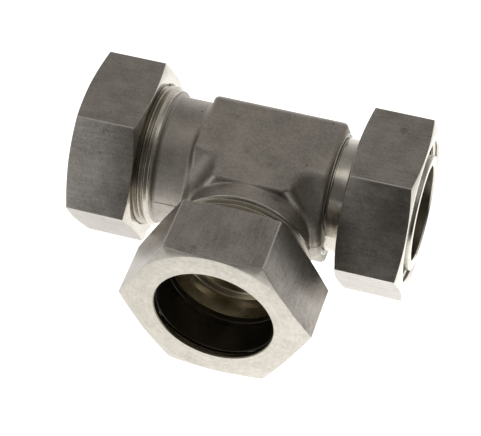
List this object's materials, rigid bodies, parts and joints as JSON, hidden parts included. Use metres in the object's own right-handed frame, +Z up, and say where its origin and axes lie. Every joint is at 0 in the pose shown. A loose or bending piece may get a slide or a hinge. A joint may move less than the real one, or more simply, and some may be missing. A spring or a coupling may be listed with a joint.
{
  "type": "compression fitting",
  "caption": "Run tee for large tube: two threaded ends with hexagon nuts and cutting rings, and one turned stub with a loose captive swivel nut.",
  "frame": {"origin": "on the surface that the nuts' flats rest on, below the middle of the fitting's box", "axes": "+X along the run, from the left compression end to the swivel end; the branch points to -Y; +Z up"},
  "size_m": [0.1244, 0.1016, 0.06],
  "materials": {
    "forged_body": "satin grey forged and pickled stainless steel, bright where it is turned",
    "nut_steel": "satin grey drawn hexagon steel with turned ends",
    "ring_steel": "dark coated steel, dull inside its bore"
  },
  "bodies": {
    "tee": {"tee_body": "forged_body"},
    "left_ring": {"left_cutting_ring": "ring_steel"},
    "left_nut": {"left_nut": "nut_steel"},
    "branch_ring": {"branch_cutting_ring": "ring_steel"},
    "branch_nut": {"branch_nut": "nut_steel"},
    "swivel_ring": {"swivel_cutting_ring": "ring_steel"},
    "swivel_nut": {"swivel_nut": "nut_steel"}
  },
  "joints": [
    {"name": "left_ring_travel", "type": "slide", "parent": "tee", "child": "left_ring", "axis": [-1, 0, 0], "range_m": [-0.00101, 0.00801]},
    {"name": "left_nut_turn", "type": "hinge", "parent": "left_ring", "child": "left_nut", "pos_m": [-0.0502, 0.01618, 0.03], "axis": [-1, 0, 0], "range_deg": [-180, 1440]},
    {"name": "branch_ring_travel", "type": "slide", "parent": "tee", "child": "branch_ring", "axis": [0, -1, 0], "range_m": [-0.00101, 0.00801]},
    {"name": "branch_nut_turn", "type": "hinge", "parent": "branch_ring", "child": "branch_nut", "pos_m": [0.0048, -0.03882, 0.03], "axis": [0, -1, 0], "range_deg": [-180, 1440]},
    {"name": "swivel_turn", "type": "hinge", "parent": "tee", "child": "swivel_ring", "pos_m": [0.0494, 0.01618, 0.03], "axis": [1, 0, 0], "continuous": true},
    {"name": "swivel_nut_slide", "type": "slide", "parent": "swivel_ring", "child": "swivel_nut", "axis": [1, 0, 0], "range_m": [-0.0055, 0]}
  ],
  "couplings": [
    {"joint": "left_ring_travel", "follows": "left_nut_turn", "m_per_rad": 0.00031831},
    {"joint": "branch_ring_travel", "follows": "branch_nut_turn", "m_per_rad": 0.00031831}
  ]
}
